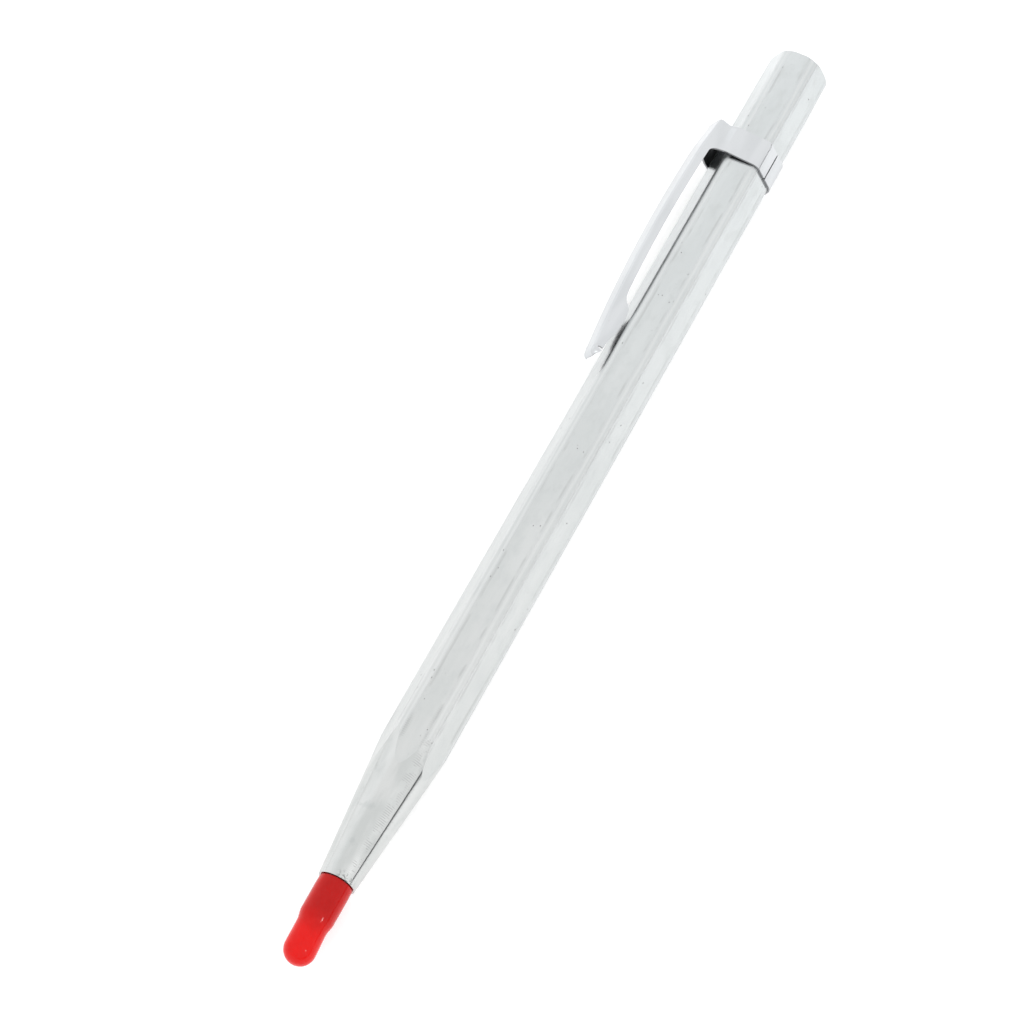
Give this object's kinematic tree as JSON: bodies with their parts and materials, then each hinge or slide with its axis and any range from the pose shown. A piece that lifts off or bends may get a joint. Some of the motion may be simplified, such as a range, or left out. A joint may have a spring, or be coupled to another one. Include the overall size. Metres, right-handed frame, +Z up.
{
  "type": "scriber",
  "caption": "Pocket scriber: hexagonal metal barrel with a turned conical nose, pressed-in carbide point, pull-off soft tip guard and spring pocket clip.",
  "frame": {"origin": "on the flat that the scriber rests on, under the axis of the barrel, halfway along the barrel", "axes": "+X along the barrel from the point to the tail, +Z up from the resting flat, so the clip leans over the +Y side"},
  "size_m": [0.1528, 0.0123, 0.0095],
  "materials": {
    "barrel_metal": "polished",
    "clip_metal": "polished",
    "holder_steel": "satin",
    "carbide": "satin",
    "guard_vinyl": "gloss"
  },
  "bodies": {
    "barrel": {"barrel": "barrel_metal", "point_holder": "holder_steel", "carbide_point": "carbide"},
    "guard": {"tip_guard": "guard_vinyl"},
    "clip": {"clip_band": "clip_metal"},
    "arm": {"clip_arm": "clip_metal"}
  },
  "joints": [
    {"name": "guard_pull", "type": "slide", "parent": "barrel", "child": "guard", "axis": [-1, 0, 0], "range_m": [0, 0.03]},
    {"name": "clip_slide", "type": "slide", "parent": "barrel", "child": "clip", "axis": [1, 0, 0], "range_m": [-0.06, 0.0158]},
    {"name": "clip_flex", "type": "hinge", "parent": "clip", "child": "arm", "pos_m": [0.048, 0.00659, 0.00781], "axis": [0, 0.5, -0.866], "range_deg": [0, 4], "stiffness_Nm_per_rad": 1.5}
  ]
}
